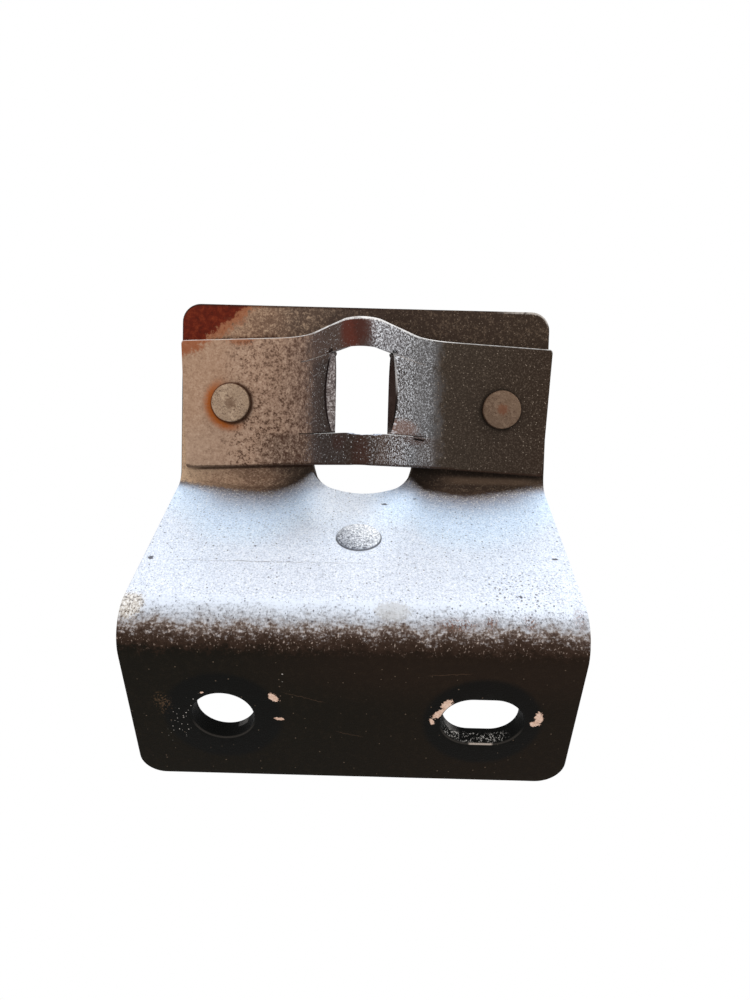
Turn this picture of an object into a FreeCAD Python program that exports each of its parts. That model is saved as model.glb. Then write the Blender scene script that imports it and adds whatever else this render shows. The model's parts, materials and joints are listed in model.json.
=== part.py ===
import FreeCAD, Part
import math
import os

from FreeCAD import Placement, Rotation, Vector

# A fixing bracket folded from one steel sheet, with a pressed strap riveted to its back flange.
# Sizes are millimetres and degrees.
# The origin is midway between the two fixing holes, on the back of the front flange, which is
# the face that bears on the host. X runs along the folds, Y from front to back and Z upwards.

# Folded sheet
width = 60.0            # along the folds
sheet = 2.5
fold_radius = 3.0       # inside of both folds
front_height = 28.0     # shelf top to the lower edge of the front flange
shelf_depth = 35.5      # front face to the corner line of shelf and back flange
back_length = 28.8      # that corner line to the top edge of the back flange
lean = 28.0             # back flange, backwards from upright
front_corner = 4.0      # radius of the front flange's lower corners
back_corner = 3.0       # radius of the back flange's upper corners

# Fixing holes in the front flange: round on the left, a slot on the right
hole_pitch = 35.0
hole_drop = 16.1        # shelf top to the hole centres
hole_d = 8.4            # also the slot's height
slot_length = 11.2

# Button pressed up out of the shelf, with its recess underneath
button_d = 6.5
button_rise = 0.35
button_back = 20.0      # front face to the button's centre

# Oblong opening, punched before folding, from the back flange down into the shelf
opening_width = 16.6
opening_top = 24.4      # corner line to the opening's upper end
opening_reach = 1.0     # past the fold, into the flat of the shelf

# Strap across the back flange
strap_sheet = 1.5
strap_height = 20.65
strap_end = 7.7         # rivet centre to the strap's end
strap_offset = 0.4      # the rivets' middle is this far to the right of the bracket's
strap_rise = 1.1        # the strap's middle stands this much higher than its rivets
strap_crown = 60.0      # radius that joins its two halves in outline

# Bulge pressed forward in the strap's middle
bulge_offset = -0.5     # from the rivets' middle
bulge_rise = 16.3       # crest above the flat ends, front face to front face
flank_slope = 63.5
crest_radius = 1.6      # inside of the crest
foot_radius = 6.8       # inside of the two feet

# Window through the bulge, between two rails, with slits that run on over both flanks
window_width = 8.0      # between the back edges of its sides
window_bow = 2.0        # the sides' front edges curve in this far along the flank at their ends
lower_rail = 4.4
upper_rail = 4.1
slit_reach = 10.3       # from the crest line
slit_gap = 0.3

# Rivets
rivet_inset = 8.1       # a rivet's centre to the bracket's side, but for the strap's offset
rivet_line = 12.7       # corner line to the rivet centres
shank_d = 4.0
shank_clearance = 0.05  # all round, in both sheets
head_d = 6.2
head_height = 1.2
head_edge = 0.15        # radius round the head's rim
left_crown = 0.05       # how far each head swells at its middle
right_crown = 0.35
tail_d = 6.6
tail_height = 1.0
tail_edge = 0.4

# Worked out from the sizes above
fold = math.radians(90 - lean)
slope = math.radians(flank_slope)
front_face = -sheet
shelf_top = hole_drop
corner_y = front_face + shelf_depth
rivet_pitch = width - 2 * rivet_inset
bulge_x = strap_offset + bulge_offset
bulge_top = strap_sheet + bulge_rise
past = 1.0              # how far a cutting tool stands clear of what it cuts

# Frames with z = 0 on a face, z out of the sheet, x to the right and y up the face
on_front_flange = Placement(Vector(0, front_face, 0), Rotation(Vector(1, 0, 0), 90))
on_back_flange = Placement(Vector(0, corner_y, shelf_top), Rotation(Vector(1, 0, 0), 90 - lean))
on_shelf = Placement(Vector(0, 0, shelf_top), Rotation())


def unit(a, b):
    length = math.dist(a, b)
    return (b[0] - a[0]) / length, (b[1] - a[1]) / length


def offset(path, gap):
    """The path moved sideways, to its right, with its corners mitred."""
    ways = [unit(a, b) for a, b in zip(path, path[1:])]
    rights = [(y, -x) for x, y in ways]
    moved = []
    for point, first, second in zip(path, rights[:1] + rights, rights + rights[-1:]):
        along = 1 + first[0] * second[0] + first[1] * second[1]
        moved.append((point[0] + gap * (first[0] + second[0]) / along,
                      point[1] + gap * (first[1] + second[1]) / along))
    return moved


def rounded(path, radii, lift):
    """Edges along the path, with an arc of its own radius at each inner corner."""
    edges = []
    start = path[0]
    for before, corner, after, radius in zip(path, path[1:], path[2:], radii):
        back, ahead = unit(corner, before), unit(corner, after)
        half = math.acos(back[0] * ahead[0] + back[1] * ahead[1]) / 2
        reach = radius / math.tan(half)
        bulge = radius * (1 / math.sin(half) - 1) / (2 * math.cos(half))
        first, middle, last = [
            (corner[0] + a * back[0] + b * ahead[0], corner[1] + a * back[1] + b * ahead[1])
            for a, b in ((reach, 0), (bulge, bulge), (0, reach))]
        edges.append(Part.makeLine(lift(start), lift(first)))
        if radius:
            edges.append(Part.Arc(lift(first), lift(middle), lift(last)).toShape())
        start = last
    edges.append(Part.makeLine(lift(start), lift(path[-1])))
    return edges


def face_between(first, second):
    """A face between two runs of edges that start side by side and end side by side."""
    starts = [run[0].firstVertex().Point for run in (first, second)]
    ends = [run[-1].lastVertex().Point for run in (first, second)]
    edges = first + second + [Part.makeLine(*starts), Part.makeLine(*ends)]
    return Part.Face(Part.Wire(Part.__sortEdges__(edges)))


def folded_face(skin, inside_radii, thickness, lift):
    """Section of a folded sheet whose skin follows the path, with its thickness on the right."""
    ways = [unit(a, b) for a, b in zip(skin, skin[1:])]
    turns_left = [a[0] * b[1] > a[1] * b[0] for a, b in zip(ways, ways[1:])]
    skin_radii = [r if left else r + thickness for r, left in zip(inside_radii, turns_left)]
    back_radii = [r + thickness if left else r for r, left in zip(inside_radii, turns_left)]
    return face_between(rounded(skin, skin_radii, lift),
                        rounded(offset(skin, thickness), back_radii, lift))


def box(x, y, z):
    """A box from three (low, high) pairs."""
    return Part.makeBox(x[1] - x[0], y[1] - y[0], z[1] - z[0], Vector(x[0], y[0], z[0]))


def round_tool(x, y, diameter, thickness):
    """A punch through a sheet whose face is at z = 0."""
    return Part.makeCylinder(diameter / 2, thickness + 2 * past, Vector(x, y, -thickness - past))


def placed(shape, frame):
    shape.Placement = frame.multiply(shape.Placement)
    return shape


def rivet_points():
    """Rivet centres on the back flange, left then right."""
    return [(strap_offset + side * rivet_pitch / 2, rivet_line) for side in (-1, 1)]


def end_corners(body):
    """The short edges across the sheet at its four outer corners, lowest first."""
    tiny = 1e-6
    found = [edge for edge in body.Edges
             if abs(edge.Length - sheet) < tiny
             and abs(abs(edge.CenterOfMass.x) - width / 2) < tiny]
    return sorted(found, key=lambda edge: edge.CenterOfMass.z)


def folded_sheet():
    """Front flange, shelf and leaning back flange."""
    rise = math.radians(lean)
    skin = [(front_face, shelf_top - front_height),
            (front_face, shelf_top),
            (corner_y, shelf_top),
            (corner_y + back_length * math.sin(rise), shelf_top + back_length * math.cos(rise))]
    section = folded_face(skin, [fold_radius, fold_radius], sheet,
                          lambda p: Vector(-width / 2, p[0], p[1]))
    body = section.extrude(Vector(width, 0, 0))
    body = body.makeFillet(front_corner, end_corners(body)[:2])
    return body.makeFillet(back_corner, end_corners(body)[-2:])


def fixing_tools():
    left, right = -hole_pitch / 2, hole_pitch / 2
    half_run = (slot_length - hole_d) / 2
    ends = [round_tool(right + shift, 0, hole_d, sheet) for shift in (-half_run, half_run)]
    middle = box((right - half_run, right + half_run), (-hole_d / 2, hole_d / 2),
                 (-sheet - past, past))
    tools = [round_tool(left, 0, hole_d, sheet), ends[0].fuse([ends[1], middle])]
    return [placed(tool, on_front_flange) for tool in tools]


def opening_tools():
    """The oblong opening in three lengths: the flange, the fold and the flat of the shelf.

    It is laid out on the flat sheet, where distances run from the shelf's end of the fold, and
    its walls stay square to the sheet all the way round the fold.
    """
    radius = opening_width / 2
    centre = radius - opening_reach
    fold_length = (fold_radius + sheet / 2) * fold
    fold_tangent = fold_radius * math.tan(fold / 2)
    low = fold_tangent + centre - fold_length
    high = opening_top - radius
    thick = (-sheet - past, past)

    ends = [round_tool(0, y, opening_width, sheet) for y in (low, high)]
    oblong = ends[0].fuse([ends[1], box((-radius, radius), (low, high), thick)])
    on_flange = oblong.common(box((-radius, radius), (fold_tangent, opening_top + past), thick))

    steps = 8
    axis = Vector(0, corner_y - fold_tangent, shelf_top + fold_radius)
    sections = []
    for step in range(steps + 1):
        share = step / steps
        half_width = math.sqrt(radius ** 2 - max(centre - share * fold_length, 0) ** 2)
        side = Vector(half_width, 0, 0)
        out = Vector(0, math.sin(share * fold), -math.cos(share * fold))
        near = axis + out * (fold_radius - past)
        far = axis + out * (fold_radius + sheet + past)
        sections.append(Part.makePolygon([near - side, near + side, far + side, far - side,
                                          near - side]))
    in_fold = Part.makeLoft(sections, True)

    flat_end = axis.y
    in_shelf = round_tool(0, flat_end + centre, opening_width, sheet)
    in_shelf = in_shelf.common(box((-radius, radius), (flat_end - radius, flat_end), thick))
    return [placed(on_flange, on_back_flange), in_fold, placed(in_shelf, on_shelf)]


def make_bracket():
    button_y = front_face + button_back
    button = Part.makeCylinder(button_d / 2, sheet + button_rise,
                               Vector(0, button_y, shelf_top - sheet))
    recess = Part.makeCylinder(button_d / 2, button_rise + past,
                               Vector(0, button_y, shelf_top - sheet - past))
    body = folded_sheet().fuse(button).cut(recess)
    for tool in fixing_tools() + opening_tools():
        body = body.cut(tool)
    for x, y in rivet_points():
        hole = round_tool(x, y, shank_d + 2 * shank_clearance, sheet)
        body = body.cut(placed(hole, on_back_flange))
    return body.removeSplitter()


def bulge_path():
    """The strap's front face seen from above, as (x, z) with its corners still sharp."""
    apex = bulge_rise + (crest_radius + strap_sheet) * (1 / math.cos(slope) - 1)
    foot = apex / math.tan(slope)
    tip = rivet_pitch / 2 + strap_end + past
    return [(strap_offset - tip, strap_sheet),
            (bulge_x - foot, strap_sheet),
            (bulge_x, strap_sheet + apex),
            (bulge_x + foot, strap_sheet),
            (strap_offset + tip, strap_sheet)]


def strap_band(lower, upper):
    """A block between two lines at these heights over the strap's middle line.

    Square on to the flange, that line runs from end to end through both rivets and rises to
    the crest of the bulge.
    """
    crest = (bulge_x, rivet_line + strap_rise)
    ends = []
    for rivet in rivet_points():
        away = unit(crest, rivet)
        ends.append((rivet[0] + away[0] * strap_end, rivet[1] + away[1] * strap_end))
    spine = [ends[0], crest, ends[1]]
    lift = lambda p: Vector(p[0], p[1], -past)
    lines = [rounded(offset(spine, -height), [strap_crown], lift) for height in (lower, upper)]
    return face_between(*lines).extrude(Vector(0, 0, bulge_top + 2 * past))


def window_side(side, low, high):
    """Tool for one side of the window, square to its flank halfway up.

    Its front edge is an arc, and its back edge is straight.
    """
    apex = offset(bulge_path(), strap_sheet)[2]
    back_x = side * window_width / 2
    back = Vector(bulge_x + back_x, 0, apex[1] - abs(back_x) * math.tan(slope))
    down = Vector(side * math.cos(slope), 0, -math.sin(slope))
    out = Vector(side * math.sin(slope), 0, math.cos(slope))
    reach = window_width / 2

    def rim(height):
        """The tool's outline at this height over the back of the flank."""
        bow = window_bow * max(height, 0) / strap_sheet
        level = back + out * height
        inner = level - down * (reach + bow)
        first, middle, last, far, near = [
            start + Vector(0, y, 0) for start, y in (
                (level - down * bow, low), (level, (low + high) / 2), (level - down * bow, high),
                (inner, high), (inner, low))]
        edge = Part.Arc(first, middle, last).toShape() if bow else Part.makeLine(first, last)
        return Part.Wire([edge] + Part.makePolygon([last, far, near, first]).Edges)

    return Part.makeLoft([rim(-past), rim(0), rim(strap_sheet + past)], True, True)


def window_tools():
    """The window and its two slits: their lower line is level, their upper one follows the strap."""
    upper = strap_height / 2 - upper_rail
    middle = rivet_line + strap_rise
    low = middle - strap_height / 2 + lower_rail
    high = middle + upper + past
    half = window_width / 2 - past
    whole = box((bulge_x - half, bulge_x + half), (low, high), (0, bulge_top + past))
    whole = whole.fuse([window_side(side, low, high) for side in (-1, 1)])
    reach = (bulge_x - slit_reach, bulge_x + slit_reach)
    lower_slit = box(reach, (low, low + slit_gap), (0, bulge_top))
    upper_slit = strap_band(upper - slit_gap, upper).common(box(reach, (low, high), (0, bulge_top)))
    return [whole.common(strap_band(-strap_height, upper)), lower_slit, upper_slit]


def make_strap():
    tall = 2 * (rivet_line + strap_height)
    section = folded_face(bulge_path(), [foot_radius, crest_radius, foot_radius], strap_sheet,
                          lambda p: Vector(p[0], -tall / 2, p[1]))
    outline = strap_band(-strap_height / 2, strap_height / 2)
    body = section.extrude(Vector(0, tall, 0)).common(outline)
    for x, y in rivet_points():
        hole = round_tool(x, y, shank_d + 2 * shank_clearance, strap_sheet)
        hole.translate(Vector(0, 0, strap_sheet))
        body = body.cut(hole)
    return placed(body.cut(window_tools()), on_back_flange)


def make_rivet(x, y, crown):
    """A rivet turned about its own axis, with its head on the strap and its tail behind."""
    lift = lambda p: Vector(p[0], 0, p[1])
    head, tail, shank = head_d / 2, tail_d / 2, shank_d / 2
    top = strap_sheet + head_height
    bottom = -sheet - tail_height
    land = head - 2 * head_edge
    outline = [(0, bottom), (tail, bottom), (tail, -sheet), (shank, -sheet),
               (shank, strap_sheet), (head, strap_sheet), (head, top), (land, top)]
    edges = rounded(outline, [tail_edge, 0, 0, 0, 0, head_edge], lift)
    ball = (land ** 2 + crown ** 2) / (2 * crown)
    swell = top + crown - ball + math.sqrt(ball ** 2 - (land / 2) ** 2)
    dome = [(land, top), (land / 2, swell), (0, top + crown)]
    edges.append(Part.Arc(*[lift(p) for p in dome]).toShape())
    edges.append(Part.makeLine(lift(dome[-1]), lift(outline[0])))
    half_section = Part.Face(Part.Wire(Part.__sortEdges__(edges)))
    body = half_section.revolve(Vector(0, 0, 0), Vector(0, 0, 1), 360)
    body.translate(Vector(x, y, 0))
    return placed(body, on_back_flange)


def main():
    os.makedirs("parts", exist_ok=True)
    left, right = rivet_points()
    parts = {
        "bracket": make_bracket(),
        "strap": make_strap(),
        "left_rivet": make_rivet(*left, left_crown),
        "right_rivet": make_rivet(*right, right_crown),
    }
    for name, shape in parts.items():
        if len(shape.Solids) != 1 or not shape.isValid():
            raise ValueError(f"{name} isn't one valid solid")
        shape.Solids[0].exportStep(f"parts/{name}.step")
        print(name, round(shape.Volume, 1), "cubic millimetres")


main()
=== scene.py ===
import json
import math

import bpy
import numpy as np
from mathutils import Matrix, Vector, noise
from mathutils.geometry import delaunay_2d_cdt


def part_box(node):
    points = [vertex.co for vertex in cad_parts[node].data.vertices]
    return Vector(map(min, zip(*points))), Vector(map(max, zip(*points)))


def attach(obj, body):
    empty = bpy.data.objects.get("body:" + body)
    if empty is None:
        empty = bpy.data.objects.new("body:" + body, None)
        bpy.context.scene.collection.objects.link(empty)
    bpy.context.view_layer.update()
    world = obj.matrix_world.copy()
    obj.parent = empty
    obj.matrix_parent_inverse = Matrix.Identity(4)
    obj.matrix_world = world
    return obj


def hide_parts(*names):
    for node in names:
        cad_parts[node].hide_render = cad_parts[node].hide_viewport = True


# A folded sheet-steel bracket with a pressed strap riveted across its leaning flange.
# Lengths are millimetres until a point is placed, and angles are radians.

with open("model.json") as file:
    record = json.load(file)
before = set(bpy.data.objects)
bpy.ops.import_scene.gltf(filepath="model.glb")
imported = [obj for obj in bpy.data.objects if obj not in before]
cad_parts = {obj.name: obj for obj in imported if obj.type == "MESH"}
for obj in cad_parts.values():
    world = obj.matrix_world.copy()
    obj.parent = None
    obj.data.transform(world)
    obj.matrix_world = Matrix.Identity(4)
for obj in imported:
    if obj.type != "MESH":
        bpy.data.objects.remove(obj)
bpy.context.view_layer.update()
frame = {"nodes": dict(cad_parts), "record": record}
MM = 0.001
mounts = {mount["name"]: mount for mount in frame["record"]["mounts"]}
low_corner, high_corner = [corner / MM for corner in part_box("bracket")]

# Folded sheet, as the solids have it
width = high_corner.x - low_corner.x
sheet = mounts["fixing_hole"]["dims"]["length_mm"]
front_face = low_corner.y
front_foot = low_corner.z
shelf_top = 16.1
fold_radius = 3.0
shelf_depth = 35.5
back_length = 28.8
lean = math.radians(28.0)
front_corner = 4.0
left_front_corner = 3.4
back_corner = 3.0
hole_x = mounts["fixing_hole"]["pos_m"][0] / MM
hole_radius = mounts["fixing_hole"]["dims"]["r_mm"]
slot_x = mounts["fixing_slot"]["pos_m"][0] / MM
slot_length = 11.2
washer_radius = 8.0     # of the marks round both fixing holes
button_radius = 3.25
button_rise = 0.35
button_back = 20.0
opening_radius = 8.3
opening_top = 24.4
opening_reach = 1.0

# Strap and rivets
strap_sheet = 1.5
strap_height = 20.65
strap_offset = 0.4
strap_rise = 1.1
rivet_pitch = 43.8
rivet_line = 12.7
strap_end = 7.7
bulge_x = -0.1
bulge_rise = 16.3
slope = math.radians(63.5)
crest_radius = 3.1      # front face
foot_radius = 6.8       # front face
window_half = 3.9       # at the back of the flank
window_bow = 2.0
window_low = 7.9
window_high = 20.0
slit_reach = 10.3
slit_gap = 0.14
hole_in_sheet = 2.05    # for a rivet's shank
head_radius = 3.1
head_height = 1.2
tail_radius = 3.3
tail_height = 1.0
rivet_places = [strap_offset - rivet_pitch / 2, strap_offset + rivet_pitch / 2]
strap_tilt = math.atan(strap_rise / (rivet_pitch / 2))

# Lengths along the bracket's sheet, counted up from the front flange's foot
back_bend = math.pi / 2 - lean
neutral = fold_radius + sheet / 2
outer = fold_radius + sheet
fold_tangent = fold_radius * math.tan(back_bend / 2)
bend_start = shelf_top - front_foot - outer
bend_end = bend_start + neutral * math.pi / 2
rise_start = bend_end + shelf_depth - outer - fold_tangent
rise_end = rise_start + neutral * back_bend
sheet_end = rise_end + back_length - fold_tangent
hole_line = -front_foot
button_line = bend_end + button_back - outer
strap_foot = rise_end - fold_tangent + rivet_line + strap_rise - strap_height / 2

# Lengths along the strap's front face, counted from the crest of its bulge
crest_end = crest_radius * slope
crest_half = crest_radius * math.sin(slope)
crest_drop = crest_radius * (1 - math.cos(slope))
foot_drop = foot_radius * (1 - math.cos(slope))
flank = (bulge_rise - crest_drop - foot_drop) / math.sin(slope)
flank_end = crest_end + flank
flank_half = crest_half + flank * math.cos(slope)
foot_end = flank_end + foot_radius * slope
foot_half = flank_half + foot_radius * math.sin(slope)
window_side = crest_end + (window_half + strap_sheet * math.sin(slope) - crest_half) / math.cos(slope)
slit_turn = math.asin(math.sin(slope) - (slit_reach - flank_half) / foot_radius)
slit_end = flank_end + foot_radius * (slope - slit_turn)


def srgb(*levels):
    """A colour as it looks, from 0 to 255, as the linear one that shaders take."""
    shares = [level / 255 for level in levels]
    return *[share / 12.92 if share <= 0.04045 else ((share + 0.055) / 1.055) ** 2.4
             for share in shares], 1.0


# Placing a point of a flat sheet where the folded one has it

def on_bracket(x, along, height):
    """Height counts out of the skin: the front of the flanges and the top of the shelf."""
    if along < bend_start:
        y, z, out = front_face, front_foot + along, (-1, 0)
    elif along < bend_end:
        turn = (along - bend_start) / neutral
        y = front_face + outer * (1 - math.cos(turn))
        z = shelf_top - outer * (1 - math.sin(turn))
        out = (-math.cos(turn), math.sin(turn))
    elif along < rise_start:
        y, z, out = front_face + outer + along - bend_end, shelf_top, (0, 1)
    else:
        turn = min((along - rise_start) / neutral, back_bend)
        past = max(along - rise_end, 0)
        y = front_face + shelf_depth - fold_tangent + fold_radius * math.sin(turn)
        z = shelf_top + fold_radius * (1 - math.cos(turn))
        y += past * math.cos(turn)
        z += past * math.sin(turn)
        out = (-math.sin(turn), math.cos(turn))
    return Vector((x, y + height * out[0], z + height * out[1])) * MM


def on_flange(x, up, out):
    """A point by its place on the back flange's front face, up from the corner line."""
    y = front_face + shelf_depth + up * math.sin(lean) - out * math.cos(lean)
    z = shelf_top + up * math.cos(lean) + out * math.sin(lean)
    return Vector((x, y, z)) * MM


def strap_section(along):
    """Where the strap's front face is at a length from the crest, and which way it faces."""
    side = math.copysign(1, along)
    reach = abs(along)
    if reach < crest_end:
        turn = reach / crest_radius
        x, drop = crest_radius * math.sin(turn), crest_radius * (1 - math.cos(turn))
    elif reach < flank_end:
        turn = slope
        run = reach - crest_end
        x, drop = crest_half + run * math.cos(slope), crest_drop + run * math.sin(slope)
    elif reach < foot_end:
        turn = slope - (reach - flank_end) / foot_radius
        x = flank_half + foot_radius * (math.sin(slope) - math.sin(turn))
        drop = bulge_rise - foot_radius * (1 - math.cos(turn))
    else:
        turn = 0.0
        x, drop = foot_half + reach - foot_end, bulge_rise
    out = strap_sheet + bulge_rise - drop
    return bulge_x + side * x, out, side * math.sin(turn), math.cos(turn)


def on_strap(along, up, height):
    x, out, face_x, face_out = strap_section(along)
    return on_flange(x + height * face_x, up, out + height * face_out)


def strap_length(x):
    """The length along the strap's front face, from the crest, of a point on its flat ends."""
    return math.copysign(foot_end + abs(x - bulge_x) - foot_half, x - bulge_x)


# Sheet metal: punched flat, with rolled and cut edges, then folded

def steps_between(start, end, step):
    """Evenly spaced points that lie between two others."""
    count = max(1, math.ceil((end - start).length / step))
    return [start + (end - start) * (k / count) for k in range(1, count)]


def loop(corners, radii, step):
    """A closed outline with rounded corners, as evenly spaced points."""
    points = []
    count = len(corners)
    for i in range(count):
        before, corner, after = [Vector(corners[(i + k) % count]) for k in (-1, 0, 1)]
        back, ahead = (before - corner).normalized(), (after - corner).normalized()
        half = math.acos(max(-1.0, min(1.0, back.dot(ahead)))) / 2
        reach = radii[i] / math.tan(half)
        first = corner + back * reach
        if points:
            points += steps_between(points[-1], first, step)
        centre = corner + (back + ahead).normalized() * (radii[i] / math.sin(half))
        sweep = math.pi - 2 * half
        arc_steps = max(1, math.ceil(radii[i] * sweep / min(step, max(radii[i] / 6, 0.02))))
        start = math.atan2(first.y - centre.y, first.x - centre.x)
        sense = math.copysign(1, (corner - before).cross(after - corner))
        for k in range(arc_steps + 1):
            angle = start + sense * sweep * k / arc_steps
            points.append(centre + radii[i] * Vector((math.cos(angle), math.sin(angle))))
    points += steps_between(points[-1], points[0], step)
    return [point for point, following in zip(points, points[1:] + points[:1])
            if (point - following).length > 1e-4]


def box_corners(x, y):
    return [(x[0], y[0]), (x[1], y[0]), (x[1], y[1]), (x[0], y[1])]


def inset(points, gap):
    """The loop moved into the metal, which lies on its left."""
    count = len(points)
    moved = []
    for i in range(count):
        before = (points[i] - points[i - 1]).normalized()
        after = (points[(i + 1) % count] - points[i]).normalized()
        left = Vector((-before.y - after.y, before.x + after.x))
        left *= 1 / max(1 + before.dot(after), 0.4)
        moved.append(points[i] + left * gap)
    return moved


def inside(places, loops):
    """Which places lie inside the outline and outside the holes."""
    found = np.zeros(len(places), bool)
    for points in loops:
        a = np.array(points)
        b = np.roll(a, -1, axis=0)
        for (x0, y0), (x1, y1) in zip(a, b):
            if y0 == y1:
                continue
            crosses = (places[:, 1] > min(y0, y1)) & (places[:, 1] <= max(y0, y1))
            x = x0 + (places[:, 1] - y0) * (x1 - x0) / (y1 - y0)
            found ^= crosses & (places[:, 0] < x)
    return found


def near(places, loops, gap):
    """Which places lie within the gap of a loop's points."""
    close = np.zeros(len(places), bool)
    for points in loops:
        for x, y in points:
            close |= (places[:, 0] - x) ** 2 + (places[:, 1] - y) ** 2 < gap ** 2
    return close


def skin(loops, grid, creases):
    """Points and triangles that fill the loops. The loops' own points come first."""
    edges = []
    start = 0
    for points in loops:
        count = len(points)
        edges += [(start + i, start + (i + 1) % count) for i in range(count)]
        start += count
    places = np.array([(x, y) for x in grid[0] for y in grid[1]])
    places = places[inside(places, loops) & ~near(places, loops + creases, 0.35)]
    given = [Vector(point) for points in [*loops, *creases, places] for point in points]
    made, _, faces, origins, _, _ = delaunay_2d_cdt(given, edges, [], 0, 1e-7)
    own = {source: index for index, sources in enumerate(origins) for source in sources}
    order = [own[i] for i in range(start)]
    order += sorted(set(range(len(made))) - set(order))
    renumber = {old: new for new, old in enumerate(order)}
    points = [made[i] for i in order]
    triangles = np.array([[renumber[i] for i in face] for face in faces])
    flat = np.array(points)
    middles = flat[triangles].mean(axis=1)
    keep = inside(middles, loops)
    a, b, c = [flat[triangles[:, k]] for k in range(3)]
    turns = (b[:, 0] - a[:, 0]) * (c[:, 1] - a[:, 1]) - (b[:, 1] - a[:, 1]) * (c[:, 0] - a[:, 0])
    keep &= np.abs(turns) > 1e-9
    triangles[turns < 0] = triangles[turns < 0][:, ::-1]
    return points, triangles[keep].tolist()


def punched_sheet(name, loops, grid, thickness, place, shape, creases=()):
    """A sheet with rounded rims.

    Each loop comes with its rim's radius in front and behind, and with how much narrower
    the back of a punched hole is.
    """
    quarter = [math.radians(angle) for angle in (0, 30, 60, 90)]
    points, faces, rim_share = [], [], []
    rings = []
    for outline, front, back, narrower in loops:
        levels = [(front * (1 - math.sin(a)), -front * (1 - math.cos(a))) for a in quarter]
        levels.append((-narrower, -thickness / 2))
        levels += [(back * (1 - math.sin(a)) - narrower, back * (1 - math.cos(a)) - thickness)
                   for a in reversed(quarter)]
        rings.append([(inset(outline, gap), height) for gap, height in levels])
    creases = [list(points) for points in creases]
    for side, height in ((0, 0.0), (-1, -thickness)):
        flat, triangles = skin([ring[side][0] for ring in rings], grid, creases)
        start = len(points)
        points += [(x, y, height) for x, y in flat]
        bordering = sum(len(ring[side][0]) for ring in rings)
        rim_share += [0.5] * bordering + [0.0] * (len(flat) - bordering)
        if side:
            triangles = [face[::-1] for face in triangles]
        faces += [[start + i for i in face] for face in triangles]
        offset = start
        for ring in rings:
            ring[side] = list(range(offset, offset + len(ring[side][0])))
            offset += len(ring[side])
    for ring in rings:
        for level in range(1, len(ring) - 1):
            outline, height = ring[level]
            ring[level] = list(range(len(points), len(points) + len(outline)))
            points += [(x, y, height) for x, y in outline]
            rim_share += [1.0] * len(outline)
        for upper, lower in zip(ring, ring[1:]):
            for i in range(len(upper)):
                j = (i + 1) % len(upper)
                faces.append([upper[i], lower[i], lower[j], upper[j]])
    shaped = [shape(*point) for point in points]
    return piece(name, [place(*point) for point in shaped], faces, points, rim_share)


def linked(name, data):
    """An object of the scene."""
    made = bpy.data.objects.new(name, data)
    bpy.context.scene.collection.objects.link(made)
    return made


def piece(name, points, faces, places, rim_share):
    """A mesh that remembers where each point was on the flat sheet, and if it's on a cut edge."""
    mesh = bpy.data.meshes.new(name)
    mesh.from_pydata(points, [], faces)
    mesh.validate()
    mesh.attributes.new("flat", "FLOAT_VECTOR", "POINT").data.foreach_set(
        "vector", np.array(places, np.float32).ravel())
    mesh.attributes.new("rim", "FLOAT", "POINT").data.foreach_set(
        "value", np.array(rim_share, np.float32))
    mesh.shade_smooth()
    made = linked(name, mesh)
    weigh = made.modifiers.new("flat faces stay flat", "WEIGHTED_NORMAL")
    weigh.weight = 80
    return made


def circle(x, y, radius, count):
    return [Vector((x + radius * math.cos(2 * math.pi * i / count),
                    y + radius * math.sin(2 * math.pi * i / count))) for i in range(count)]


def hole(x, y, half_x, half_y, step):
    """A round, oblong or square-cornered hole, whose metal lies on its left."""
    radius = min(half_x, half_y)
    corners = box_corners((x - half_x, x + half_x), (y - half_y, y + half_y))
    return loop(corners, [radius] * 4, step)[::-1]


def stations(marks, steps):
    """Numbers that run through the marks with a step of their own in each stretch."""
    found = [marks[0]]
    for start, end, step in zip(marks, marks[1:], steps):
        count = max(1, round((end - start) / step))
        found += [start + (end - start) * k / count for k in range(1, count + 1)]
    return found


def ripple(x, y, size, seed):
    """A smooth random number from -1 to 1."""
    return noise.noise(Vector((x / size, y / size, seed)))


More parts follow.
